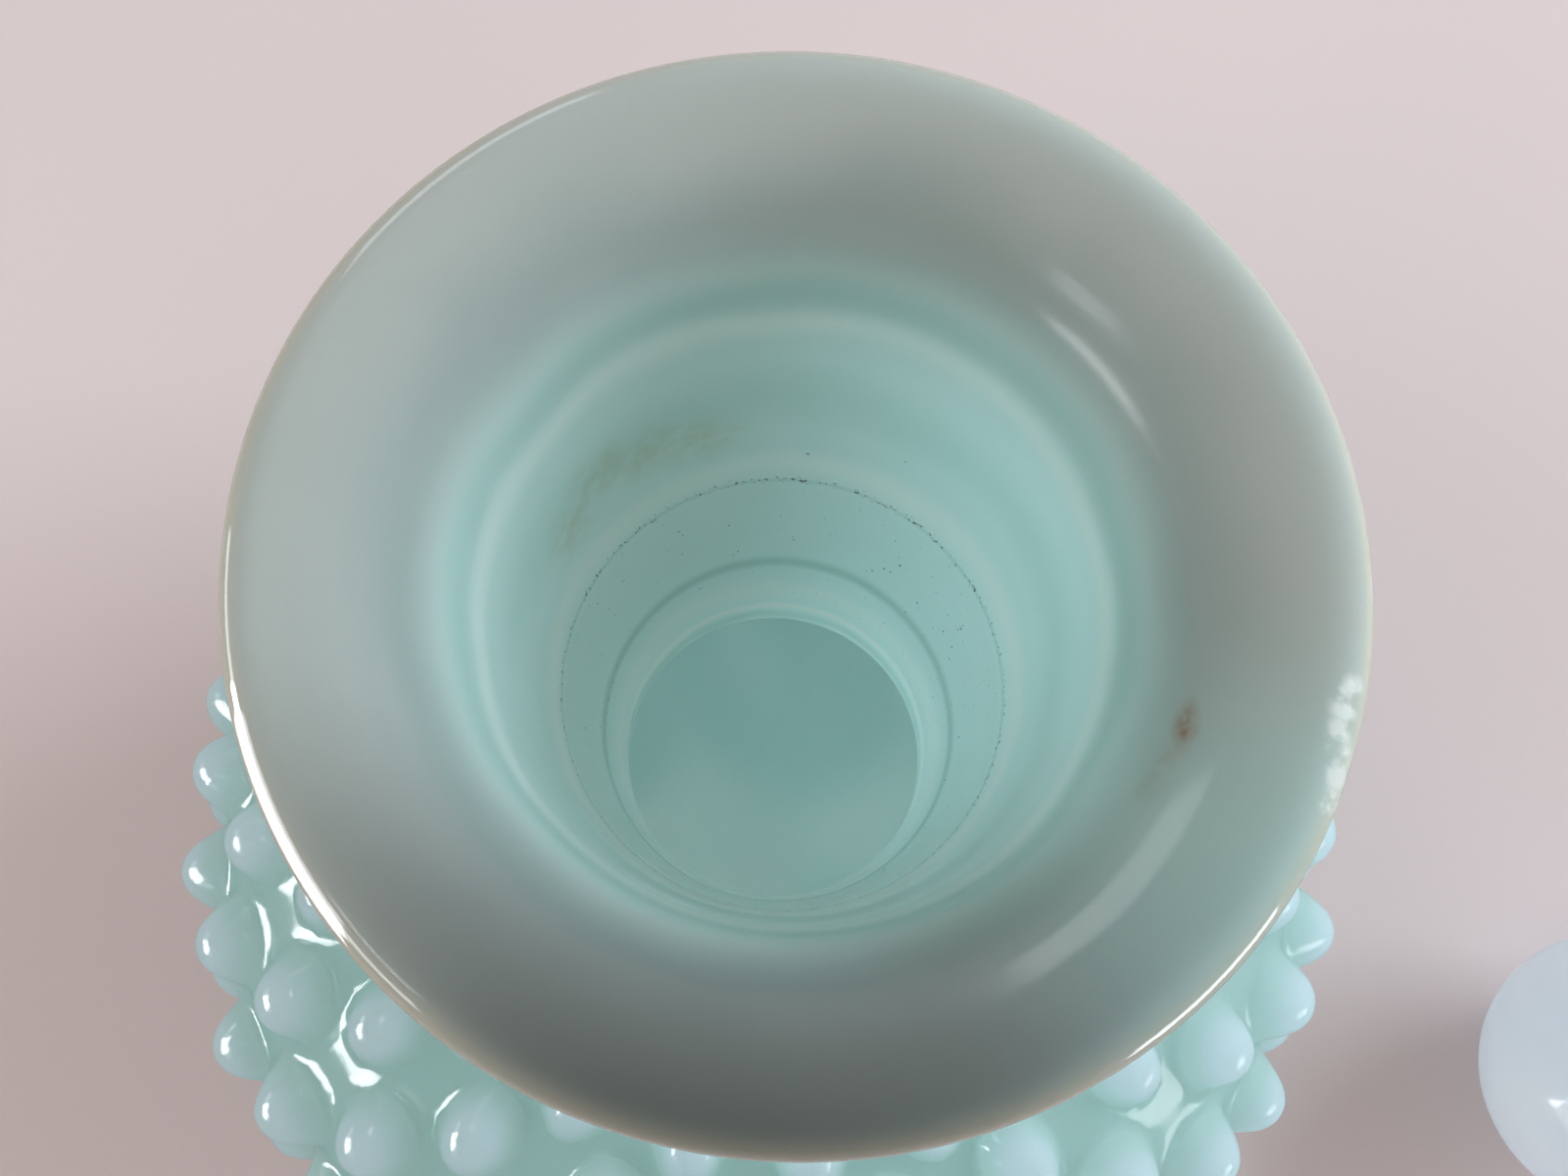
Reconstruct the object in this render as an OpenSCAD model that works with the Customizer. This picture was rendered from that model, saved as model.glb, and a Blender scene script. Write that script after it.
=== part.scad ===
// Hobnail glass bottle: a squat round body covered in raised knobs, a short tapered neck with a wide
// flared lip, and a ball-headed glass stopper that lies beside it on the table.
// Millimetres. +Z is up along the bottle's axis and the origin is the middle of its flat base.

/* [Body] */
// Radius of the glass body at its widest, under the hobnails
body_r = 39; // [34:0.5:46]
// Height of the widest circle above the table
equator_h = 31; // [26:0.5:34]
// Radius of the tight curve that turns the side into the shoulder
belt_r = 20; // [16:0.5:23]
// Height of the shoulder's crown above the widest circle
shoulder_rise = 25.5; // [24:0.5:30]
// Thickness of the body's wall
body_wall = 3.2; // [2:0.1:5]
// Thickness of the floor inside
floor_t = 5; // [3:0.1:9]

/* [Hobnails] */
// Height of a hobnail above the glass, in the widest rows
hob_h = 3.5; // [2.8:0.1:4]
// Radius of a hobnail's rounded tip
hob_tip_r = 2.4; // [1.6:0.1:2.6]
// Slope of a hobnail's side against its own axis, in degrees
hob_flank = 28; // [16:1:34]
// Depth of a hobnail's foot in the glass
hob_sink = 1; // [0.8:0.1:1.4]
// How closely the hobnails shrink with their rows, from 0 for not at all to 1 for fully
hob_shrink = 0.8; // [0:0.05:1]
// Hobnails in each row
hob_count = 20; // [14:1:22]
// Distance between rows, along the glass
row_step = 6.2; // [5.6:0.1:6.6]
// Rows above the widest circle
rows_above = 5; // [3:1:5]
// Rows below the widest circle
rows_below = 5; // [3:1:5]
// Turn of the pattern about the axis, in degrees
hob_turn = 15.1; // [0:0.1:18]

/* [Neck and lip] */
// Height of the lip above the table
lip_h = 99; // [90:0.5:112]
// Radius of the lip's outer edge
rim_r = 23; // [20:0.5:27]
// Thickness of the glass in the neck and lip
lip_t = 3; // [2.2:0.1:3.6]
// Radius of the curve that flares the bore out into the lip
lip_arc_r = 9; // [7:0.1:11]
// Slope of the lip at its edge, in degrees
rim_slope = 12; // [4:1:24]
// Radius of the throat, the narrowest part of the bore
throat_r = 8.9; // [7:0.1:10]
// Height of the throat's upper edge above the shoulder's crown
throat_rise = 2.7; // [1.5:0.1:6]
// Length of the straight throat, under which the bore opens into the chamber
throat_len = 3; // [2.6:0.1:4]
// Radius of the hollow curve between neck and shoulder
neck_fillet_r = 4; // [2:0.1:5]
// Depth below the lip of the ring that the stopper's ball seats on
seat_depth = 23.6; // [17:0.1:27]

/* [Stopper] */
// Gap between the plug and the throat
plug_clear = 0.5; // [0.2:0.1:1]
// How far the seated plug reaches down into the throat
plug_reach = 4; // [2:0.5:6]
// Taper of the plug on each side, in degrees
plug_taper = 1.5; // [0:0.1:2.5]
// Height of the bevel round the plug's end
plug_bevel = 1; // [0.4:0.1:2]
// Space between the hobnails and the stopper's ball
stopper_gap = 20.8; // [4:0.1:40]
// Direction from the bottle to the ball, in degrees about the axis
stopper_bearing = -13.6; // [-180:0.1:180]
// Direction that the plug points, in degrees about the axis
plug_bearing = 6; // [-60:1:60]

/* [Hidden] */
$fn = 96;
glass = [0.62, 0.80, 0.78];
stopper_glass = [0.74, 0.82, 0.85];

// The shoulder is a large sphere cap on the axis that runs smoothly into the belt's curve
belt_c = body_r - belt_r;
crown_rise = shoulder_rise - belt_r;
cap_drop = (belt_c*belt_c - crown_rise*crown_rise)/(2*crown_rise);
cap_r = shoulder_rise + cap_drop;
cap_angle = atan2(cap_drop, belt_c);
belt_len = belt_r*cap_angle*PI/180;

// The neck's bore is the straight line from the throat that just touches the lip's curve
throat_z = equator_h + shoulder_rise + throat_rise;
lip_mid_r = lip_arc_r - lip_t/2;
lip_c = [
  rim_r - lip_t/2 + lip_mid_r*sin(rim_slope),
  lip_h - lip_t/2 - lip_mid_r*cos(rim_slope)
];
lip_reach = norm(lip_c - [throat_r, throat_z]);
bore_angle = atan2(lip_c.x - throat_r, lip_c.y - throat_z) - asin(lip_arc_r/lip_reach);
neck_r = throat_r + lip_t/cos(bore_angle);

// The ball touches the bore at the seat, and its plug hangs on into the throat
seat_z = lip_h - seat_depth;
seat_r = throat_r + (seat_z - throat_z)*tan(bore_angle);
ball_r = seat_r/cos(bore_angle);
ball_z = seat_z + ball_r*sin(bore_angle);
plug_len = ball_z - throat_z + plug_reach;
plug_end_r = throat_r - plug_clear;
plug_root_r = plug_end_r + plug_len*tan(plug_taper);

// Laid down, the stopper rests on its ball and on the edge of the plug
plug_edge = plug_len - plug_bevel;
plug_edge_r = plug_end_r + plug_bevel*tan(plug_taper);
rest_tilt = asin(ball_r/norm([plug_edge, plug_edge_r])) - atan2(plug_edge_r, plug_edge);
ball_distance = body_r + hob_h + stopper_gap + ball_r;

// Elevation of the glass's outward normal at a distance along the side from the widest circle
function side_angle(along) =
  along < 0 ? along/body_r*180/PI :
  along < belt_len ? along/belt_r*180/PI :
  cap_angle + (along - belt_len)/cap_r*180/PI;

// Place on the side, as radius and height above the widest circle
function side_point(along) =
  let (a = side_angle(along), out = [cos(a), sin(a)])
  along < 0 ? body_r*out :
  along < belt_len ? [belt_c, 0] + belt_r*out :
  [0, -cap_drop] + cap_r*out;

// Unit vector from the lip curve's centre to the glass where its slope is the given angle
function lip_out(slope) = [-sin(slope), cos(slope)];

// Half section of the body, drawn in from the outside by a margin
module body_half(inset) {
  wedge = 2*cap_r;
  translate([0, equator_h]) {
    intersection() {
      circle(body_r - inset);
      translate([0, -body_r]) square([body_r, body_r]);
    }
    intersection() {
      translate([belt_c, 0]) circle(belt_r - inset);
      square(body_r);
    }
    intersection() {
      translate([0, -cap_drop]) circle(cap_r - inset);
      translate([0, -cap_drop])
        polygon([[0, 0], wedge*[cos(cap_angle), sin(cap_angle)], [wedge, wedge], [0, wedge]]);
      square([body_r, shoulder_rise]);
    }
  }
}

// Half section of the hollow between neck and shoulder, filled with glass
module neck_fillet_half() {
  c_r = neck_r + neck_fillet_r;
  c_z = equator_h - cap_drop + sqrt(pow(cap_r + neck_fillet_r, 2) - c_r*c_r);
  touch = [0, equator_h - cap_drop] + cap_r/(cap_r + neck_fillet_r)*[c_r, c_z - equator_h + cap_drop];
  difference() {
    polygon([[throat_r, c_z], [c_r, c_z], touch, [throat_r, touch.y]]);
    translate([c_r, c_z]) circle(neck_fillet_r);
  }
}

// Half section of the tapered neck and the flared lip
module lip_half() {
  neck_slope = 90 - bore_angle;
  far = 4*lip_arc_r;
  polygon([
    [throat_r, throat_z],
    lip_c + lip_arc_r*lip_out(neck_slope),
    lip_c + (lip_arc_r - lip_t)*lip_out(neck_slope),
    [neck_r, throat_z]
  ]);
  translate(lip_c) {
    intersection() {
      difference() {
        circle(lip_arc_r);
        circle(lip_arc_r - lip_t);
      }
      polygon([[0, 0], far*lip_out(neck_slope), far*lip_out(45), far*lip_out(rim_slope)]);
    }
    translate(lip_mid_r*lip_out(rim_slope)) circle(lip_t/2);
  }
}

// Half section of the bottle's outside, from the base up to the lip
module outside_half() {
  intersection() {
    body_half(0);
    square([body_r, lip_h]);
  }
  neck_fillet_half();
  translate([0, equator_h]) square([neck_r, throat_z - equator_h]);
  lip_half();
}

// Half section of the hollow inside, from the floor up through the throat
module inside_half() {
  throat_foot = throat_z - throat_len;
  flare = 2*body_wall;
  difference() {
    body_half(body_wall);
    square([body_r, floor_t]);
  }
  translate([0, equator_h]) square([throat_r, lip_h - equator_h]);
  translate([0, throat_foot - flare])
    polygon([[0, 0], [throat_r + flare, 0], [throat_r, flare], [0, flare]]);
}

// Half section of one hobnail about its own axis: a blunt cone with a rounded tip
module hob_half(size) {
  tip_r = size*hob_tip_r;
  tip_c = size*hob_h - tip_r;
  sink = size*hob_sink;
  touch = [tip_r*cos(hob_flank), tip_c + tip_r*sin(hob_flank)];
  foot_r = touch.x + (touch.y + sink)*tan(hob_flank);
  polygon([[0, -sink], [foot_r, -sink], touch, [0, touch.y]]);
  intersection() {
    translate([0, tip_c]) circle(tip_r);
    translate([0, touch.y]) square(tip_r);
  }
}

// Every hobnail, in staggered rows that follow the side of the body
module hobnails() {
  pitch = 360/hob_count;
  for (row = [-rows_below : rows_above - 1]) {
    along = (row + 0.5)*row_step;
    place = side_point(along);
    size = 1 - hob_shrink*(1 - place.x/body_r);
    stagger = (abs(row) % 2)*pitch/2;
    for (k = [0 : hob_count - 1])
      rotate([0, 0, hob_turn + pitch/2 - stagger + k*pitch])
        translate([place.x, 0, equator_h + place.y])
          rotate([0, 90 - side_angle(along), 0])
            rotate_extrude($fn = 32) hob_half(size);
  }
}

// Bottle: one piece of pressed glass, hollow and open from the lip to the floor
module bottle() {
  color(glass)
    difference() {
      union() {
        rotate_extrude() outside_half();
        hobnails();
      }
      rotate_extrude() inside_half();
    }
}

// Stopper: one solid piece of glass, a ball on a short tapered plug, lying on the table
module stopper() {
  at = ball_distance*[cos(stopper_bearing), sin(stopper_bearing), 0];
  color(stopper_glass)
    translate(at + [0, 0, ball_r])
      rotate([0, 90 + rest_tilt, plug_bearing]) {
        sphere(ball_r);
        cylinder(r1 = plug_root_r, r2 = plug_edge_r, h = plug_edge);
        translate([0, 0, plug_edge])
          cylinder(r1 = plug_edge_r, r2 = plug_edge_r - plug_bevel, h = plug_bevel);
      }
}

bottle();
stopper();
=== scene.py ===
"""Looks of a squat turquoise hobnail bottle in milk glass, with its ball-headed stopper lying beside it.

Metres, in the part's own frame: +Z is up along the bottle's axis, -Y is towards the viewer, and the origin is
the middle of the bottle's flat base.
"""
from collections import namedtuple
from math import asin, atan2, cos, exp, hypot, pi, radians, sin, sqrt, tan

import bmesh
import bpy
from mathutils import Matrix, Vector
from mathutils.kdtree import KDTree


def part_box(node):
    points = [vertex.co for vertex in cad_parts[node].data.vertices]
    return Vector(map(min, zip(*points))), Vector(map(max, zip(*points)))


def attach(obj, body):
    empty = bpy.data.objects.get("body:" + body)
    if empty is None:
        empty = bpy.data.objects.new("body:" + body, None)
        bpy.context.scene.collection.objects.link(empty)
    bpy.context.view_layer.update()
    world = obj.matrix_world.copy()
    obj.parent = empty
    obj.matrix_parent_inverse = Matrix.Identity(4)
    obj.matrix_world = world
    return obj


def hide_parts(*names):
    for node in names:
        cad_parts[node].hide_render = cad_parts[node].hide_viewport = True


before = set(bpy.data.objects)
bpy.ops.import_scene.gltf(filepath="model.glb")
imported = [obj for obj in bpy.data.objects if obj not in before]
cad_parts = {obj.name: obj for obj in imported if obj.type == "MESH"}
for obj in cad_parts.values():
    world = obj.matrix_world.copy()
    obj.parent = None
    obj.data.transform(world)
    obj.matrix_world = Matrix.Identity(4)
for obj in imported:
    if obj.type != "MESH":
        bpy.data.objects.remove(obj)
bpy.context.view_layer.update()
bottle_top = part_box("bottle")[1].z
stopper_low, stopper_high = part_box("stopper")

MM = 0.001

# Room left for the slight swelling of a smoothed surface
SMOOTH_GAP = 0.02 * MM

# Points of a spun mesh that are closer than this are one point
MERGE_GAP = 0.01 * MM

# Body of the bottle
BODY_R = 39 * MM
EQUATOR_H = 31 * MM
BELT_R = 20 * MM
SHOULDER_RISE = 25.5 * MM
BODY_WALL = 3.2 * MM
FLOOR_T = 5 * MM

# Hobnails, in staggered rows: egg-shaped, and smaller where the rows narrow
HOB_H = 3.33 * MM
HOB_HALF_WIDTH = 3.3 * MM
HOB_HALF_LENGTH = 3.7 * MM
HOB_SHRINK = 0.8
HOB_COUNT = 20
ROW_STEP = 6.2 * MM
ROWS_ABOVE = 5
ROWS_BELOW = 5
HOB_TURN = radians(15.1)
COLUMNS_PER_HOB = 4

# Rings of one hobnail from its foot to near its tip: share of its width and share of its height
HOB_RINGS = ((1.0, 0.09), (0.85, 0.36), (0.66, 0.68), (0.43, 0.92), (0.18, 1.03))
# How much wider the foot's hollow runs than the hobnail, and how much narrower its upper end is
FOOT_SHARE = 1.14
EGG_TAPER = 0.10
# A grid point under this slope from the hobnail's middle lies beside it
BESIDE_SLOPE = 0.3
RING_INSET = 0.05 * MM
EIGHTH = pi / 4

# Neck and lip
LIP_H = bottle_top - SMOOTH_GAP
RIM_R = 23 * MM
LIP_T = 3 * MM
LIP_ARC_R = 9 * MM
RIM_SLOPE = radians(12)
THROAT_R = 8.9 * MM
THROAT_RISE = 2.7 * MM
THROAT_LEN = 3 * MM
THROAT_EDGE = 0.8 * MM
NECK_FILLET_R = 4 * MM
SEAT_DEPTH = 23.6 * MM

# Stopper, with its ball resting on the table
BALL_R = (stopper_high.y - stopper_low.y) / 2
BALL_C = Vector((stopper_low.x + BALL_R, stopper_low.y + BALL_R, BALL_R + SMOOTH_GAP))
PLUG_CLEAR = 0.5 * MM
PLUG_REACH = 4 * MM
PLUG_TAPER = radians(1.5)
PLUG_BEVEL = 1 * MM
PLUG_FILLET_R = 1.6 * MM
PLUG_BEARING = radians(6)
STOPPER_COLUMNS = 48

# Places that follow from the sizes
BELT_C = BODY_R - BELT_R
CROWN_RISE = SHOULDER_RISE - BELT_R
CAP_DROP = (BELT_C ** 2 - CROWN_RISE ** 2) / (2 * CROWN_RISE)
CAP_R = SHOULDER_RISE + CAP_DROP
CAP_ANGLE = atan2(CAP_DROP, BELT_C)
BELT_LEN = BELT_R * CAP_ANGLE
BASE_R = sqrt(BODY_R ** 2 - EQUATOR_H ** 2)
THROAT_Z = EQUATOR_H + SHOULDER_RISE + THROAT_RISE
LIP_MID_R = LIP_ARC_R - LIP_T / 2
LIP_C = Vector((
    RIM_R - LIP_T / 2 + LIP_MID_R * sin(RIM_SLOPE),
    LIP_H - LIP_T / 2 - LIP_MID_R * cos(RIM_SLOPE),
))
LIP_REACH = hypot(LIP_C.x - THROAT_R, LIP_C.y - THROAT_Z)
BORE_ANGLE = atan2(LIP_C.x - THROAT_R, LIP_C.y - THROAT_Z) - asin(LIP_ARC_R / LIP_REACH)
NECK_R = THROAT_R + LIP_T / cos(BORE_ANGLE)
SEAT_Z = LIP_H - SEAT_DEPTH

# Low rings of the bore: height, rise and half width
BORE_RINGS = (
    (SEAT_Z - 0.6 * MM, 0.09 * MM, 1.0 * MM),
    (THROAT_Z + 6.4 * MM, 0.12 * MM, 1.2 * MM),
    (SEAT_Z + 7.0 * MM, 0.16 * MM, 2.6 * MM),
    (SEAT_Z + 13.0 * MM, 0.14 * MM, 2.2 * MM),
)

# Steps of the bottle's outside, from the shoulder up
SHOULDER_STEPS = 3
NECK_FILLET_STEPS = 5
NECK_STEPS = 6
UNDERSIDE_STEPS = 6

# Steps of the bottle's inside, from the rim down
RIM_STEPS = 8
LIP_STEPS = 12
BORE_STEPS = 30
FLARE_STEPS = 3
CAP_STEPS = 6
BELT_STEPS = 5
BOWL_STEPS = 7

# Steps of the stopper
BALL_STEPS = 20
PLUG_FILLET_STEPS = 4
PLUG_STEPS = 6

# Rings of the flat faces, as shares of their radius
BASE_SHARES = (0, 0.45, 0.8, 0.96, 1)
FLOOR_SHARES = (0.93, 0.6, 0.3, 0)
PLUG_END_SHARES = (1, 0.85, 0.4, 0)


def polar(angle):
    """Unit vector of a profile, as radius and height, at an angle above the horizontal."""
    return Vector((cos(angle), sin(angle)))


def arc(centre, radius, start, end, steps):
    """Points of a round stretch, set out a little so that the smoothed surface lies on the true curve."""
    step = (end - start) / steps
    grown = radius * 3 / (2 + cos(step))
    return [centre + grown * polar(start + step * i) for i in range(steps + 1)]


def line(start, end, steps):
    """Points of a straight stretch, without its two ends."""
    return [start.lerp(end, i / steps) for i in range(1, steps)]


def side_angle(along):
    """Elevation of the body's outward normal at a distance along the side from the widest circle."""
    if along < 0:
        return along / BODY_R
    if along < BELT_LEN:
        return along / BELT_R
    return CAP_ANGLE + (along - BELT_LEN) / CAP_R


def side_point(along):
    """Radius and height of the body's side at a distance along it from the widest circle."""
    out = polar(side_angle(along))
    if along < 0:
        return Vector((0, EQUATOR_H)) + BODY_R * out
    if along < BELT_LEN:
        return Vector((BELT_C, EQUATOR_H)) + BELT_R * out
    return Vector((0, EQUATOR_H - CAP_DROP)) + CAP_R * out


def lip_point(slope, radius):
    """Point of the flared lip where its slope is the given angle, at a radius of the lip's curve."""
    return LIP_C + radius * Vector((-sin(slope), cos(slope)))


def bore_swell(height):
    """Slight inward swell of the bore's wall at a height, from all its low rings."""
    swell = 0.0
    for ring_z, ring_rise, ring_half in BORE_RINGS:
        swell += ring_rise * exp(-((height - ring_z) / ring_half) ** 2)
    return swell


def outside_profile():
    """Outside of the bottle, from the middle of the base up to the lip's underside."""
    base_edge = Vector((BASE_R, 0))
    half_row = ROW_STEP / 2
    first, last = -ROWS_BELOW * ROW_STEP, ROWS_ABOVE * ROW_STEP
    rows = round((last - first) / half_row)
    points = [base_edge * share for share in BASE_SHARES]
    points.append(side_point((first - BODY_R * asin(EQUATOR_H / BODY_R)) / 2))
    points += [side_point(first + half_row * i) for i in range(rows + 1)]

    fillet_r = NECK_R + NECK_FILLET_R
    cap_c = Vector((0, EQUATOR_H - CAP_DROP))
    fillet_c = Vector((fillet_r, cap_c.y + sqrt((CAP_R + NECK_FILLET_R) ** 2 - fillet_r ** 2)))
    touch = (fillet_c - cap_c).normalized()
    touch_angle = atan2(touch.y, touch.x)
    points += line(side_point(last), cap_c + CAP_R * touch, SHOULDER_STEPS)
    points += arc(fillet_c, NECK_FILLET_R, touch_angle + pi, pi - BORE_ANGLE, NECK_FILLET_STEPS)
    underside_r = LIP_ARC_R - LIP_T
    points += line(points[-1], lip_point(pi / 2 - BORE_ANGLE, underside_r), NECK_STEPS)
    points += arc(LIP_C, underside_r, pi - BORE_ANGLE, pi / 2 + RIM_SLOPE, UNDERSIDE_STEPS)
    return points


def inside_profile():
    """Rim, bore, throat and chamber of the bottle, from the rim down to the middle of the floor."""
    rim_c = lip_point(RIM_SLOPE, LIP_MID_R)
    points = arc(rim_c, LIP_T / 2, RIM_SLOPE - pi / 2, RIM_SLOPE + pi / 2, RIM_STEPS)[1:-1]
    points += arc(LIP_C, LIP_ARC_R, pi / 2 + RIM_SLOPE, pi - BORE_ANGLE, LIP_STEPS)

    throat = Vector((THROAT_R, THROAT_Z))
    bore_foot = throat + Vector((THROAT_EDGE * tan(BORE_ANGLE), THROAT_EDGE))
    bore = line(points[-1], bore_foot, BORE_STEPS)
    points += [p - Vector((bore_swell(p.y), 0)) for p in bore]

    # Under the short throat the bore opens at half a right angle into the chamber
    cap_c = Vector((0, EQUATOR_H - CAP_DROP))
    inner_cap_r = CAP_R - BODY_WALL
    throat_foot = Vector((THROAT_R, THROAT_Z - THROAT_LEN))
    flare_sum = throat_foot.x + throat_foot.y - cap_c.y
    flare_r = (flare_sum - sqrt(2 * inner_cap_r ** 2 - flare_sum ** 2)) / 2
    flare_end = Vector((flare_r, throat_foot.x + throat_foot.y - flare_r))
    edge_drop = Vector((0, THROAT_EDGE))
    points += [throat + edge_drop, throat, throat - edge_drop, throat_foot + edge_drop / 2, throat_foot]
    points += line(throat_foot, flare_end, FLARE_STEPS)

    cap_start = asin((flare_end.y - cap_c.y) / inner_cap_r)
    points += arc(cap_c, inner_cap_r, cap_start, CAP_ANGLE, CAP_STEPS)
    points += arc(Vector((BELT_C, EQUATOR_H)), BELT_R - BODY_WALL, CAP_ANGLE, 0, BELT_STEPS)[1:]
    bowl_r = BODY_R - BODY_WALL
    floor_angle = -asin((EQUATOR_H - FLOOR_T) / bowl_r)
    points += arc(Vector((0, EQUATOR_H)), bowl_r, 0, floor_angle, BOWL_STEPS)[1:]
    floor_r = bowl_r * cos(floor_angle)
    points += [Vector((floor_r * share, FLOOR_T)) for share in FLOOR_SHARES]
    return points


# Names of the mesh values that mark the bore's side, and how far up its hobnail a point lies
INSIDE = "inside"
HOB_RISE = "hob_rise"


def spin_profile(outside, inside, start, columns):
    """Closed shell of an outer and an inner profile, turned once about the Z axis from an azimuth."""
    bm = bmesh.new()
    mark = bm.verts.layers.float.new(INSIDE)
    out = Vector((cos(start), sin(start), 0))
    up = Vector((0, 0, 1))
    verts = [bm.verts.new(p.x * out + p.y * up) for p in outside + inside]
    for vert in verts[len(outside):]:
        vert[mark] = 1.0
    edges = [bm.edges.new(pair) for pair in zip(verts, verts[1:])]
    bmesh.ops.spin(
        bm, geom=verts + edges, cent=(0, 0, 0), axis=(0, 0, 1), dvec=(0, 0, 0),
        angle=2 * pi, steps=columns, use_merge=True,
    )
    bmesh.ops.remove_doubles(bm, verts=bm.verts, dist=MERGE_GAP)
    bmesh.ops.recalc_face_normals(bm, faces=bm.faces)
    return bm


def hob_places():
    """Middle on the glass, outward, sideways and upward direction, and size of every hobnail."""
    pitch = 2 * pi / HOB_COUNT
    up = Vector((0, 0, 1))
    for row in range(-ROWS_BELOW, ROWS_ABOVE):
        along = (row + 0.5) * ROW_STEP
        spot, out = side_point(along), polar(side_angle(along))
        size = 1 - HOB_SHRINK * (1 - spot.x / BODY_R)
        for k in range(HOB_COUNT):
            azimuth = HOB_TURN + pitch / 2 - (abs(row) % 2) * pitch / 2 + k * pitch
            radial = Vector((cos(azimuth), sin(azimuth), 0))
            outward = out.x * radial + out.y * up
            sideways = up.cross(radial)
            yield spot.x * radial + spot.y * up, outward, sideways, outward.cross(sideways), size


def raise_hobnail(bm, middle, spot, outward, sideways, upward, size):
    """Draws one hobnail up from the four faces round a vertex of the body's grid."""
    faces = list(middle.link_faces)
    grown = 3 / (2 + cos(EIGHTH))
    half_width = HOB_HALF_WIDTH * size * grown
    half_length = HOB_HALF_LENGTH * grown

    # The grid points beside the hobnail move to the sides of its foot
    for vert in {v for f in faces for v in f.verts}:
        across = (vert.co - spot).dot(sideways)
        lift = (vert.co - spot).dot(upward)
        if abs(lift) < BESIDE_SLOPE * abs(across):
            widen = FOOT_SHARE * half_width / abs(across)
            turn = atan2(vert.co.y, vert.co.x) - atan2(spot.y, spot.x)
            turn = (turn + pi) % (2 * pi) - pi
            spin = Matrix.Rotation(turn * (widen - 1), 3, "Z")
            bmesh.ops.rotate(bm, verts=[vert], cent=(0, 0, 0), matrix=spin)

    rise = bm.verts.layers.float[HOB_RISE]
    for ring_r, ring_h in HOB_RINGS:
        bmesh.ops.inset_region(bm, faces=faces, thickness=RING_INSET, use_even_offset=True)
        for vert in {v for f in faces for v in f.verts} - {middle}:
            offset = vert.co - spot
            turn = round(atan2(offset.dot(upward), offset.dot(sideways)) / EIGHTH) * EIGHTH
            across = ring_r * half_width * cos(turn) * (1 - EGG_TAPER * sin(turn))
            lift = ring_r * half_length * sin(turn)
            vert.co = spot + across * sideways + lift * upward + HOB_H * size * ring_h * outward
            vert[rise] = ring_h
        middle.co = spot + HOB_H * size * ring_h * outward
    middle[rise] = 1.0


def bottle_shell():
    """The bottle: spun shell with its hobnails drawn out of the side."""
    columns = HOB_COUNT * COLUMNS_PER_HOB
    bm = spin_profile(outside_profile(), inside_profile(), HOB_TURN, columns)
    bm.verts.layers.float.new(HOB_RISE)
    places = list(hob_places())
    bm.verts.ensure_lookup_table()
    tree = KDTree(len(bm.verts))
    for i, vert in enumerate(bm.verts):
        tree.insert(vert.co, i)
    tree.balance()
    middles = [bm.verts[tree.find(place[0])[1]] for place in places]
    for middle, place in zip(middles, places):
        raise_hobnail(bm, middle, *place)
    bmesh.ops.recalc_face_normals(bm, faces=bm.faces)
    return bm


def stopper_shell():
    """The stopper: a solid ball run into a tapered plug with a bevelled end, laid down on the table."""
    ball_z = SEAT_Z + BALL_R * sin(BORE_ANGLE)
    plug_len = ball_z - THROAT_Z + PLUG_REACH
    end_r = THROAT_R - PLUG_CLEAR
    edge = plug_len - PLUG_BEVEL
    edge_r = end_r + PLUG_BEVEL * tan(PLUG_TAPER)
    rest_tilt = asin(BALL_R / hypot(edge, edge_r)) - atan2(edge_r, edge)

    # The hollow fillet touches the ball and the plug's side
    root_r = end_r + plug_len * tan(PLUG_TAPER)
    fillet_x = root_r - BALL_R * tan(PLUG_TAPER) + PLUG_FILLET_R
    fillet_c = Vector((fillet_x, sqrt((BALL_R + PLUG_FILLET_R) ** 2 - fillet_x ** 2)))
    touch = atan2(fillet_c.y, fillet_c.x)
    points = arc(Vector((0, 0)), BALL_R, -pi / 2, touch, BALL_STEPS)
    points[0] = Vector((0, -BALL_R))
    points += arc(fillet_c, PLUG_FILLET_R, touch + pi, pi, PLUG_FILLET_STEPS)[1:]
    points += line(points[-1], Vector((edge_r, edge)), PLUG_STEPS)
    half_bevel = PLUG_BEVEL / 2
    points += [Vector((edge_r, edge)), Vector((edge_r - half_bevel, plug_len - half_bevel))]
    points += [Vector((share * (edge_r - PLUG_BEVEL), plug_len)) for share in PLUG_END_SHARES]

    bm = spin_profile(points, [], 0, STOPPER_COLUMNS)
    lay = Matrix.Rotation(PLUG_BEARING, 4, "Z") @ Matrix.Rotation(pi / 2 + rest_tilt, 4, "Y")
    bmesh.ops.transform(bm, matrix=Matrix.Translation(BALL_C) @ lay, verts=bm.verts)
    return bm


def add_object(name, bm, material):
    """Makes an object of a mesh in the part's own frame."""
    mesh = bpy.data.meshes.new(name)
    bm.to_mesh(mesh)
    bm.free()
    mesh.materials.append(material)
    thing = bpy.data.objects.new(name, mesh)
    bpy.context.scene.collection.objects.link(thing)
    return thing


def add_piece(name, bm, material, rounds):
    """Makes a smooth object of a mesh, subdivided a number of times."""
    for face in bm.faces:
        face.smooth = True
    piece = add_object(name, bm, material)
    smooth = piece.modifiers.new("smooth", "SUBSURF")
    smooth.levels = rounds
    smooth.render_levels = rounds
    return piece


def srgb(red, green, blue):
    """Linear colour of a display colour given from 0 to 255."""
    def linear(value):
        share = value / 255
        return share / 12.92 if share <= 0.04045 else ((share + 0.055) / 1.055) ** 2.4
    return (linear(red), linear(green), linear(blue), 1)


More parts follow.
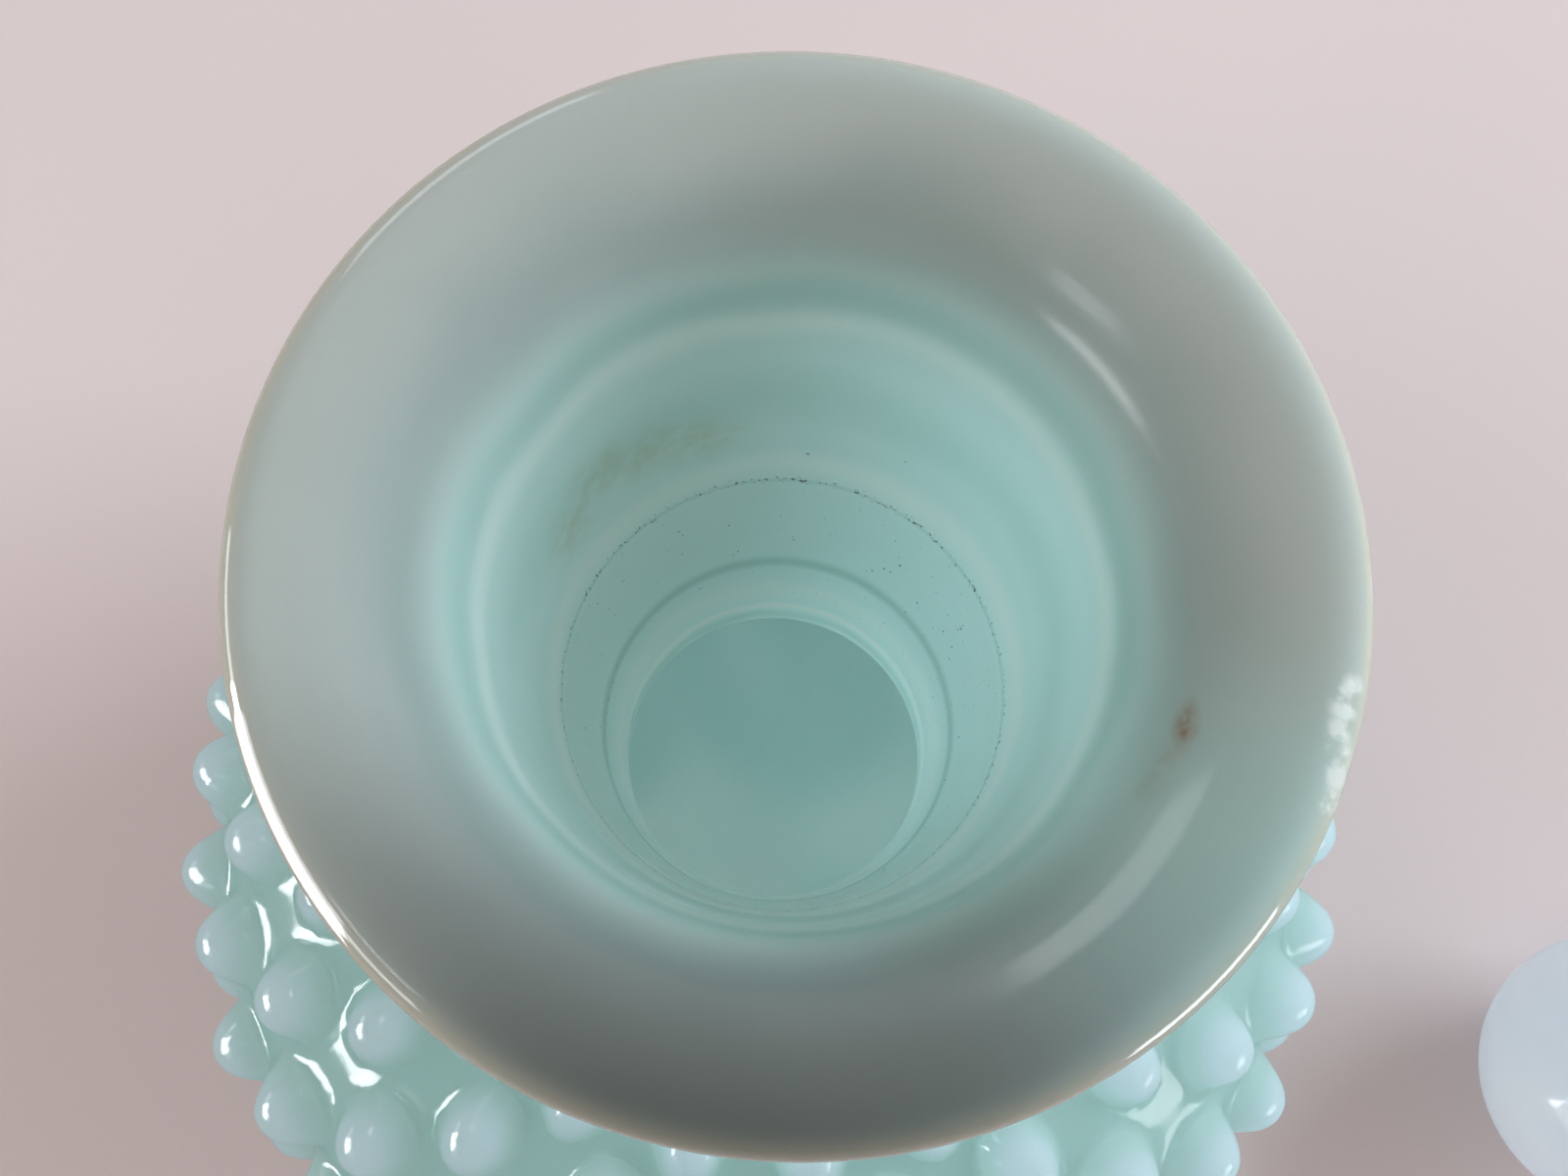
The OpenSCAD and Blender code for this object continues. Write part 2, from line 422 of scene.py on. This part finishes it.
def new_material(name):
    """A new material, with its node tree and its Principled shader."""
    material = bpy.data.materials.new(name)
    material.use_nodes = True
    tree = material.node_tree
    return material, tree, tree.nodes["Principled BSDF"]


def add_node(tree, kind, inputs, **settings):
    """Adds a node. Each input takes a plain value, or the output socket that feeds it."""
    node = tree.nodes.new(kind)
    for key, value in settings.items():
        setattr(node, key, value)
    for key, value in inputs.items():
        socket = node.inputs[key]
        if isinstance(value, bpy.types.NodeSocket):
            tree.links.new(value, socket)
        else:
            socket.default_value = value
    return node


def object_place(tree):
    """Object coordinates of the surface."""
    return tree.nodes.new("ShaderNodeTexCoord").outputs["Object"]


def mesh_value(tree, name):
    """A value that the mesh holds at each point."""
    return add_node(tree, "ShaderNodeAttribute", {}, attribute_name=name).outputs["Fac"]


def noise(tree, place, scale, detail=2.0, distortion=0.0):
    """Noise over the surface, with its scale in waves per metre."""
    inputs = {"Vector": place, "Scale": scale, "Detail": detail, "Distortion": distortion}
    return add_node(tree, "ShaderNodeTexNoise", inputs).outputs["Fac"]


def remap(tree, value, low, high, to_low=0.0, to_high=1.0, smooth=True):
    """A value's range stretched to another range, and held to it."""
    inputs = {"Value": value, "From Min": low, "From Max": high, "To Min": to_low, "To Max": to_high}
    kind = "SMOOTHSTEP" if smooth else "LINEAR"
    return add_node(tree, "ShaderNodeMapRange", inputs, interpolation_type=kind).outputs["Result"]


def maths(tree, operation, first, second):
    """One sum on two values or sockets."""
    return add_node(tree, "ShaderNodeMath", {0: first, 1: second}, operation=operation).outputs["Value"]


def product(tree, first, *others):
    """Values or sockets multiplied together."""
    for other in others:
        first = maths(tree, "MULTIPLY", first, other)
    return first


def largest(tree, first, *others):
    """The largest of several values or sockets."""
    for other in others:
        first = maths(tree, "MAXIMUM", first, other)
    return first


def stretched(tree, place, shares):
    """A place with its three coordinates multiplied by shares."""
    return add_node(tree, "ShaderNodeVectorMath", {0: place, 1: shares}, operation="MULTIPLY").outputs[0]


def blend(tree, share, first, second):
    """Mix of two colours or colour sockets."""
    inputs = {0: share, 6: first, 7: second}
    return add_node(tree, "ShaderNodeMix", inputs, data_type="RGBA").outputs[2]


def near(tree, place, spot, reach):
    """1 at a spot of the surface, given in millimetres, fading to 0 at a distance."""
    middle = tuple(MM * value for value in spot)
    measure = add_node(tree, "ShaderNodeVectorMath", {0: place, 1: middle}, operation="DISTANCE")
    return remap(tree, measure.outputs["Value"], 0.0, reach, 1.0, 0.0)


def any_near(tree, place, spots, reach):
    """1 at any of several spots of the surface, fading to 0 at a distance."""
    return largest(tree, *[near(tree, place, spot, reach) for spot in spots])


def level(tree, height, middle, half):
    """1 at a height, fading to 0 at half a band's width above and below it."""
    gap = maths(tree, "ABSOLUTE", maths(tree, "SUBTRACT", height, middle), 0.0)
    return remap(tree, gap, 0.0, half, 1.0, 0.0)


def bump(tree, shader, height, depth):
    """Small relief from a value between 0 and 1, with its depth in metres."""
    inputs = {"Height": height, "Strength": 1.0, "Distance": depth}
    tree.links.new(add_node(tree, "ShaderNodeBump", inputs).outputs["Normal"], shader.inputs["Normal"])


def milky(shader, weight, radius, depth):
    """Lets light wander under the surface of glossy glass."""
    shader.inputs["IOR"].default_value = GLASS_IOR
    shader.inputs["Subsurface Weight"].default_value = weight
    shader.inputs["Subsurface Radius"].default_value = radius
    shader.inputs["Subsurface Scale"].default_value = depth


def let_light_through(tree, shader, colour, share):
    """Mixes in a share of light that passes through the glass, as it does through thin opal glass."""
    glow = add_node(tree, "ShaderNodeBsdfTranslucent", {"Color": colour})
    body = add_node(tree, "ShaderNodeMixShader", {0: share, 1: shader.outputs[0], 2: glow.outputs[0]})
    tree.links.new(body.outputs[0], tree.nodes["Material Output"].inputs["Surface"])


# Colours of the glass, of what years of use left on it, and of painted highlights, painted reflections,
# painted shade and painted glow on it
BODY_TINT = srgb(192, 216, 211)
BODY_GLOW = srgb(224, 242, 240)
CLOUD_TINT = srgb(204, 224, 221)
LIP_TINT = srgb(172, 176, 171)
LIP_GLOW = srgb(192, 234, 228)
# Painted highlight on the hobnails' tips
TIP_HIGHLIGHT_TINT = srgb(232, 244, 252)
PALE_TINT = srgb(232, 238, 233)
DEEP_TINT = srgb(146, 190, 180)
# Painted shade for a band across the lip
PAINTED_SHADE_TINT = srgb(134, 152, 148)
CREAM_TINT = srgb(196, 192, 170)
OLIVE_TINT = srgb(172, 160, 84)
BROWN_TINT = srgb(148, 110, 66)
SPECK_TINT = srgb(30, 46, 42)
CHIP_TINT = srgb(232, 236, 230)
STOPPER_TINT = srgb(236, 242, 248)
STOPPER_CLOUD = srgb(243, 247, 250)

# Gloss and depth of the glass
GLASS_IOR = 1.5
RELIEF_DEPTH = 0.03 * MM
BOTTLE_MILK_DEPTH = 5 * MM
STOPPER_MILK_DEPTH = 12 * MM
STOPPER_LIGHT_SHARE = 0.6

# Waves per metre of the glass's uneven looks
CLOUD_WAVES = 90
POOL_WAVES = 60
WAVER_WAVES = 120
FLAKE_WAVES = 900
GRAIN_WAVES = 1100
DOT_WAVES = 4800
RARE_DOT_WAVES = 4400
GLOSS_WAVES = 160
RELIEF_WAVES = 260
STOPPER_CLOUD_WAVES = 80
STOPPER_RELIEF_WAVES = 220

# The lip turns grey between these radii, apart from a patch painted with the turquoise glow of light shining
# through it, and a band of painted shade darkens it at one height
GREY_START_R = 12.3 * MM
GREY_FULL_R = 16.8 * MM
GLOW_PATCH_REACH = 12.5 * MM
GLOW_PATCH_SHARE = 0.8
SHADE_BAND_Z = 96.2 * MM
SHADE_BAND_HALF = 2.8 * MM
SHADE_BAND_SHARE = 0.55

# Bands round the neck's inside: height, half width and strength. They are partly the glass's own tool rings
# and partly painted light: painted reflections and a painted highlight on the throat's edge among the pale
# ones, painted shade among the deep ones
PALE_AND_HIGHLIGHT_BANDS = (
    (89.8 * MM, 1.7 * MM, 0.5), (76.9 * MM, 2.3 * MM, 0.65),
    (61.8 * MM, 2.0 * MM, 0.5), (59.5 * MM, 0.8 * MM, 1.0),
)
DEEP_AND_SHADE_BANDS = (
    (92.3 * MM, 2.0 * MM, 0.28), (83.8 * MM, 3.5 * MM, 0.22), (75.2 * MM, 0.3 * MM, 0.35),
    (65.6 * MM, 1.0 * MM, 0.5), (57.6 * MM, 1.6 * MM, 0.4),
)
# Bands wider than this waver up and down
STEADY_HALF = 1 * MM
WAVER = 0.7 * MM

# Places of stains, loose specks, the patch of painted glow on the lip and the rim's chip, in millimetres
OLIVE_SPOTS = ((-7.0, 10.5, 81.9), (-9.3, 8.9, 83.2), (-4.4, 11.6, 80.8), (-10.6, 6.6, 81.6))
BROWN_SPOT = (15.36, -6.4, 96.45)
FAINT_BROWN_SPOTS = ((14.6, -7.6, 96.3), (13.9, -8.7, 96.2))
THROAT_SPOT = (-8.75, 1.64, 57.0)
LOOSE_SPECKS = (
    (1.2, 11.9, 78.0), (6.1, 10.7, 80.3), (-3.0, -9.9, 67.5),
    (8.2, -6.0, 66.8), (9.9, 4.4, 71.0),
)
# Middle of the patch of painted glow, where light shines through the lip
PAINTED_GLOW_PATCH = (14.5, -11.5, 97.5)
CHIP_SPOTS = (
    (21.4, -5.5, 98.9), (21.0, -6.2, 98.9), (20.8, -7.1, 98.9),
    (20.7, -8.0, 98.8), (20.5, -8.8, 98.7), (20.2, -9.8, 98.6),
)

# Reaches and strengths of these marks
# Share of the painted highlight on the hobnails' tips
TIP_HIGHLIGHT_SHARE = 0.85
EDGE_SHARE = 0.65
CHIP_REACH = 1.15 * MM
CHIP_SHARE = 0.75
CHIP_RELIEF = 2.0
OLIVE_REACH = 3.3 * MM
OLIVE_SHARE = 0.32
FAINT_REACH = 1.3 * MM
FAINT_SHARE = 0.35
BROWN_REACH = 0.85 * MM
THROAT_SPOT_REACH = 0.45 * MM
SPECK_REACH = 0.17 * MM
SPECK_SHARE = 0.8
HAZE_SHARE = 0.08
LIP_LIGHT_LOSS = 0.38

Surface = namedtuple("Surface", "place height radius inside")


def bottle_surface(tree):
    """Place, height, distance from the axis and mark of the bore's side at a point of the bottle."""
    place = object_place(tree)
    height = add_node(tree, "ShaderNodeSeparateXYZ", {0: place}).outputs["Z"]
    flat = stretched(tree, place, (1, 1, 0))
    radius = add_node(tree, "ShaderNodeVectorMath", {0: flat}, operation="LENGTH").outputs["Value"]
    return Surface(place, height, radius, mesh_value(tree, INSIDE))


def lip_shares(tree, surface):
    """How far a point belongs to the lip, and how grey the lip is there: less grey in a patch of painted
    glow, where light shines through the lip.
    """
    upper_bore = remap(tree, surface.height, LIP_H - 12 * MM, LIP_H - 8 * MM)
    flare = remap(tree, surface.height, LIP_H - 9 * MM, LIP_H - 2 * MM)
    above_neck = largest(tree, product(tree, upper_bore, surface.inside), flare)
    # Painted glow: the lip is less grey and lets more light through at one patch
    painted_glow = product(tree, near(tree, surface.place, PAINTED_GLOW_PATCH, GLOW_PATCH_REACH), GLOW_PATCH_SHARE)
    grey = maths(tree, "SUBTRACT", remap(tree, surface.radius, GREY_START_R, GREY_FULL_R), painted_glow)
    return above_neck, product(tree, above_neck, largest(tree, grey, 0.0))


def tint_surface(tree, share, coat, tint):
    """Tints only the surface of a coat, which is a surface colour and the colour of light coming through."""
    return blend(tree, share, coat[0], tint), coat[1]


def tint_both(tree, share, coat, tint):
    """Tints both colours of a coat."""
    return tuple(blend(tree, share, colour, tint) for colour in coat)


def add_bands(tree, surface, coat, lip_share, inside_neck):
    """Bands inside the neck, which waver a little: partly tool rings of the glass, partly painted
    reflections, a painted highlight on the throat's edge and painted shade. Then a band of painted shade
    where the lip turns down.
    """
    sway = noise(tree, surface.place, WAVER_WAVES, 1.0)
    sway = remap(tree, sway, 0.2, 0.8, -WAVER, WAVER, smooth=False)
    wavy_height = maths(tree, "ADD", surface.height, sway)
    for bands, tint in ((DEEP_AND_SHADE_BANDS, DEEP_TINT), (PALE_AND_HIGHLIGHT_BANDS, PALE_TINT)):
        for middle, half, strength in bands:
            height = wavy_height if half > STEADY_HALF else surface.height
            share = product(tree, level(tree, height, middle, half), strength, inside_neck)
            coat = tint_both(tree, share, coat, tint)
    # Painted shade: a darker band where the lip turns down
    painted_shade = level(tree, wavy_height, SHADE_BAND_Z, SHADE_BAND_HALF)
    painted_shade = product(tree, painted_shade, SHADE_BAND_SHARE, lip_share, surface.inside)
    return tint_both(tree, painted_shade, coat, PAINTED_SHADE_TINT)


def add_rim_marks(tree, surface, coat, above_neck):
    """Cream edge of the rim and the long rough chip in it. Gives the coat and the chip's share."""
    edge = remap(tree, surface.radius, RIM_R - 1.2 * MM, RIM_R - 0.1 * MM, 0.0, EDGE_SHARE)
    coat = tint_both(tree, product(tree, edge, above_neck), coat, CREAM_TINT)
    flakes = remap(tree, noise(tree, surface.place, FLAKE_WAVES, 3.0), 0.3, 0.6, 0.2, 1.0)
    chip = product(tree, any_near(tree, surface.place, CHIP_SPOTS, CHIP_REACH), flakes)
    chip = remap(tree, chip, 0.12, 0.85, 0.0, CHIP_SHARE)
    return tint_both(tree, chip, coat, CHIP_TINT), chip


def add_stains(tree, place, coat):
    """Olive stains in the bore, and brown ones on the lip and at the throat."""
    grain = remap(tree, noise(tree, place, GRAIN_WAVES, 4.0), 0.3, 0.7, 0.3, 1.0)
    olive = product(tree, any_near(tree, place, OLIVE_SPOTS, OLIVE_REACH), grain, OLIVE_SHARE)
    coat = tint_both(tree, olive, coat, OLIVE_TINT)
    faint = any_near(tree, place, FAINT_BROWN_SPOTS, FAINT_REACH)
    coat = tint_surface(tree, product(tree, faint, FAINT_SHARE, grain), coat, BROWN_TINT)

    # The brown spot is twice as long as it is wide
    x, y, z = BROWN_SPOT
    brown = near(tree, stretched(tree, place, (1, 0.5, 1)), (x, y / 2, z), BROWN_REACH)
    coat = tint_both(tree, product(tree, brown, grain), coat, BROWN_TINT)
    return tint_surface(tree, near(tree, place, THROAT_SPOT, THROAT_SPOT_REACH), coat, BROWN_TINT)


def add_specks(tree, surface, coat, inside_neck):
    """Dark specks: a ring of them at the stopper's seat, a few strewn below it, and some loose ones."""
    dots = remap(tree, noise(tree, surface.place, DOT_WAVES, 0.0), 0.66, 0.74)
    ring = level(tree, surface.height, SEAT_Z - 0.1 * MM, 0.5 * MM)
    rare = remap(tree, noise(tree, surface.place, RARE_DOT_WAVES, 0.0), 0.81, 0.86)
    strewn = level(tree, surface.height, SEAT_Z - 7 * MM, 11 * MM)
    seat_specks = product(tree, dots, ring, inside_neck)
    strewn_specks = product(tree, rare, strewn, inside_neck)
    loose = any_near(tree, surface.place, LOOSE_SPECKS, SPECK_REACH)
    specks = product(tree, largest(tree, seat_specks, strewn_specks, loose), SPECK_SHARE)
    return tint_both(tree, specks, coat, SPECK_TINT)


def turquoise_milk_glass():
    """Glossy opal glass: turquoise in the body and neck, greyer in the lip, with bands and old stains, and
    with painted highlights, reflections, shade and glow.
    """
    material, tree, shader = new_material("turquoise_milk_glass")
    surface = bottle_surface(tree)
    place = surface.place
    above_neck, lip_share = lip_shares(tree, surface)

    # Clouded turquoise, running into grey on the lip
    cloud = remap(tree, noise(tree, place, CLOUD_WAVES, 3.0, 0.6), 0.35, 0.75, 0.0, 0.5)
    clouded = blend(tree, cloud, BODY_TINT, CLOUD_TINT)
    coat = blend(tree, lip_share, clouded, LIP_TINT), blend(tree, lip_share, BODY_GLOW, LIP_GLOW)

    # Painted highlight: paler on the tips of the hobnails, and so deeper between them. Paler also in a cloud
    # on the chamber's floor
    tip = remap(tree, mesh_value(tree, HOB_RISE), 0.15, 0.9, 0.0, TIP_HIGHLIGHT_SHARE)
    coat = tint_both(tree, tip, coat, TIP_HIGHLIGHT_TINT)
    low = product(tree, remap(tree, surface.height, FLOOR_T + 5 * MM, FLOOR_T + 0.5 * MM), surface.inside)
    pool = remap(tree, noise(tree, place, POOL_WAVES, 1.0), 0.35, 0.65, 0.9, 0.2)
    coat = tint_surface(tree, product(tree, low, pool), coat, PALE_TINT)

    # Marks of making and of use, with painted reflections, a painted highlight and painted shade among the
    # bands
    inside_neck = remap(tree, surface.radius, RIM_R - 4 * MM, RIM_R - 6 * MM)
    inside_neck = product(tree, inside_neck, surface.inside)
    coat = add_bands(tree, surface, coat, lip_share, inside_neck)
    coat, chip = add_rim_marks(tree, surface, coat, above_neck)
    coat = add_stains(tree, place, coat)
    colour, glow = add_specks(tree, surface, coat, inside_neck)
    tree.links.new(colour, shader.inputs["Base Color"])

    # Fire-polished all over, but hazy with wear on the lip's inner slope
    inner_lip = remap(tree, surface.radius, RIM_R - 1.4 * MM, RIM_R - 2.4 * MM)
    haze = product(tree, inner_lip, lip_share, HAZE_SHARE)
    gloss = remap(tree, noise(tree, place, GLOSS_WAVES, 4.0), 0.3, 0.7, 0.05, 0.11)
    tree.links.new(maths(tree, "ADD", gloss, haze), shader.inputs["Roughness"])
    hollow = product(tree, chip, CHIP_RELIEF)
    relief = maths(tree, "SUBTRACT", noise(tree, place, RELIEF_WAVES, 1.0), hollow)
    bump(tree, shader, relief, RELIEF_DEPTH)
    milky(shader, 0.5, (0.75, 1.0, 0.98), BOTTLE_MILK_DEPTH)

    # Light passes the body's wall most, the neck and the lip less, and the thick floor least
    share = remap(tree, low, 0.0, 1.0, 0.7, 0.05, smooth=False)
    neck_loss = remap(tree, surface.height, THROAT_Z - 6 * MM, THROAT_Z + 8 * MM, 0.0, 0.2)
    share = maths(tree, "SUBTRACT", share, neck_loss)
    share = maths(tree, "SUBTRACT", share, product(tree, lip_share, LIP_LIGHT_LOSS))
    let_light_through(tree, shader, glow, share)
    return material


def pale_opal_glass():
    """Glossy bluish-white opal glass of the stopper."""
    material, tree, shader = new_material("pale_opal_glass")
    place = object_place(tree)
    cloud = remap(tree, noise(tree, place, STOPPER_CLOUD_WAVES, 3.0, 0.6), 0.35, 0.75)
    colour = blend(tree, cloud, STOPPER_TINT, STOPPER_CLOUD)
    tree.links.new(colour, shader.inputs["Base Color"])
    smear = noise(tree, place, GLOSS_WAVES, 4.0)
    tree.links.new(remap(tree, smear, 0.3, 0.7, 0.08, 0.18), shader.inputs["Roughness"])
    bump(tree, shader, noise(tree, place, STOPPER_RELIEF_WAVES, 1.0), RELIEF_DEPTH)
    milky(shader, 1.0, (0.95, 1.0, 1.0), STOPPER_MILK_DEPTH)
    let_light_through(tree, shader, colour, STOPPER_LIGHT_SHARE)
    return material


bottle = add_piece("hobnail_bottle", bottle_shell(), turquoise_milk_glass(), 1)
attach(bottle, "bottle")
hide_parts("bottle")

stopper = add_piece("ball_stopper", stopper_shell(), pale_opal_glass(), 2)
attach(stopper, "stopper")
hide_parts("stopper")

# Table
TABLE_SIZE = 4
TABLE_TINT = srgb(211, 195, 193)
TABLE_PALE_TINT = srgb(217, 200, 198)
TABLE_WAVES = 6
TABLE_ROUGHNESS = 0.7

# Dark card over the near side of the lip
CARD_WIDTH = 37 * MM
CARD_DEPTH = 36 * MM
CARD_TURN = radians(-16)
CARD_PLACE = Vector((-1, -26, 105.4)) * MM
CARD_TINT = srgb(40, 40, 42)
CARD_ROUGHNESS = 0.6

# Colours of the lamps and of the room's light
COOL_LIGHT = (0.72, 0.89, 1)
WINDOW_LIGHT = (0.88, 0.95, 1)
GLINT_LIGHT = (0.95, 0.97, 1)
SHEEN_LIGHT = (0.95, 0.98, 1)
ROOM_MIDDLE = (0.34, 0.315, 0.305, 1)
ROOM_SIDES = (1.08, 1.01, 0.99, 1)
ROOM_SEEN = (0.72, 0.66, 0.64, 1)

# Camera: place, three axes, and lens in millimetres
CAMERA_PLACE = Vector((-2.927, -21.467, 166.710)) * MM
CAMERA_RIGHT = Vector((0.99948, 0, 0.0324))
CAMERA_UP = Vector((-0.00912, 0.95957, 0.28131))
CAMERA_BACK = Vector((-0.03109, -0.28146, 0.95907))
SENSOR_WIDTH = 36
FOCAL_LENGTH = 41.625
NEAREST_SEEN = 5 * MM
FARTHEST_SEEN = 20


def add_floor():
    """Plain pale table under the bottle."""
    bm = bmesh.new()
    bmesh.ops.create_grid(bm, x_segments=1, y_segments=1, size=TABLE_SIZE)
    material, tree, shader = new_material("pale_table")
    tone = remap(tree, noise(tree, object_place(tree), TABLE_WAVES, 2.0), 0.3, 0.7)
    colour = blend(tree, tone, TABLE_TINT, TABLE_PALE_TINT)
    tree.links.new(colour, shader.inputs["Base Color"])
    shader.inputs["Roughness"].default_value = TABLE_ROUGHNESS
    shader.inputs["Specular IOR Level"].default_value = 0.0
    table = add_object("table", bm, material)


def add_shade():
    """Dark card that shades the near side of the lip from above. It is out of sight."""
    bm = bmesh.new()
    bmesh.ops.create_grid(bm, x_segments=1, y_segments=1, size=0.5)
    bmesh.ops.scale(bm, vec=(CARD_WIDTH, CARD_DEPTH, 1), verts=bm.verts)
    bmesh.ops.rotate(bm, matrix=Matrix.Rotation(CARD_TURN, 3, "Z"), verts=bm.verts)
    bmesh.ops.translate(bm, vec=CARD_PLACE, verts=bm.verts)
    material, _, shader = new_material("dark_card")
    shader.inputs["Base Color"].default_value = CARD_TINT
    shader.inputs["Roughness"].default_value = CARD_ROUGHNESS
    card = add_object("shade_card", bm, material)
    card.visible_camera = False
    card.visible_glossy = False


def add_softbox(name, bearing, elevation, distance, size, power, colour, glint):
    """Rectangular lamp aimed at the lip, with angles in degrees. It gives only glints or only soft light."""
    level_out = cos(radians(elevation))
    out = Vector((
        cos(radians(bearing)) * level_out,
        sin(radians(bearing)) * level_out,
        sin(radians(elevation)),
    ))
    lamp = bpy.data.lights.new(name, "AREA")
    lamp.shape = "RECTANGLE"
    lamp.size, lamp.size_y = size
    lamp.energy = power
    lamp.color = colour
    holder = bpy.data.objects.new(name, lamp)
    holder.location = Vector((0, 0, LIP_H)) + distance * out
    holder.rotation_euler = (-out).to_track_quat("-Z", "Y").to_euler()
    holder.visible_camera = False
    holder.visible_diffuse = not glint
    holder.visible_glossy = glint
    bpy.context.scene.collection.objects.link(holder)


def add_room_light(middle, sides, seen):
    """Soft light from all round, stronger from both sides. The room itself is seen as one pale colour."""
    world = bpy.data.worlds.new("studio")
    world.use_nodes = True
    tree = world.node_tree
    direction = tree.nodes.new("ShaderNodeTexCoord").outputs["Generated"]
    across = add_node(tree, "ShaderNodeSeparateXYZ", {0: direction}).outputs["X"]
    light = blend(tree, maths(tree, "ABSOLUTE", across, 0.0), middle, sides)
    path = tree.nodes.new("ShaderNodeLightPath").outputs
    shown = largest(tree, path["Is Camera Ray"], path["Is Glossy Ray"], path["Is Transmission Ray"])
    tree.links.new(blend(tree, shown, light, seen), tree.nodes["Background"].inputs["Color"])
    bpy.context.scene.world = world


def add_camera():
    """Camera just above the near side of the lip, looking down into the mouth."""
    lens = bpy.data.cameras.new("camera")
    lens.sensor_fit = "HORIZONTAL"
    lens.sensor_width = SENSOR_WIDTH
    lens.lens = FOCAL_LENGTH
    lens.clip_start = NEAREST_SEEN
    lens.clip_end = FARTHEST_SEEN
    camera = bpy.data.objects.new("camera", lens)
    camera.location = CAMERA_PLACE
    turn = Matrix((CAMERA_RIGHT, CAMERA_UP, CAMERA_BACK)).transposed()
    camera.rotation_euler = turn.to_euler()
    bpy.context.scene.collection.objects.link(camera)
    bpy.context.scene.camera = camera


add_floor()
add_shade()

# Soft light, from the right and the left
add_softbox("side_lamp", 16, 24, 1.0, (0.71, 0.51), 10.6, COOL_LIGHT, glint=False)
add_softbox("left_window", 205, 35, 0.5, (0.3, 0.3), 0.6, WINDOW_LIGHT, glint=False)

# Glints on the hobnails and the rim, and streaks inside the lip
add_softbox("low_lamp", 194, -12, 0.35, (0.19, 0.2), 4.4, GLINT_LIGHT, glint=True)
add_softbox("rim_lamp", 201, -7, 0.048, (0.022, 0.029), 0.018, GLINT_LIGHT, glint=True)
add_softbox("left_sheen", 192, -12, 0.6, (0.7, 0.32), 4.4, SHEEN_LIGHT, glint=True)
add_softbox("right_glint", -35, -17, 0.25, (0.1, 0.07), 0.24, GLINT_LIGHT, glint=True)
add_softbox("streak_low", 212, 29, 0.7, (0.16, 0.02), 0.10, GLINT_LIGHT, glint=True)
add_softbox("streak_high", 212, 34, 0.7, (0.16, 0.02), 0.08, GLINT_LIGHT, glint=True)
add_softbox("back_window", 118, 24, 0.7, (0.3, 0.2), 0.6, GLINT_LIGHT, glint=True)
add_room_light(ROOM_MIDDLE, ROOM_SIDES, ROOM_SEEN)
add_camera()
bpy.context.scene.view_settings.view_transform = "Standard"
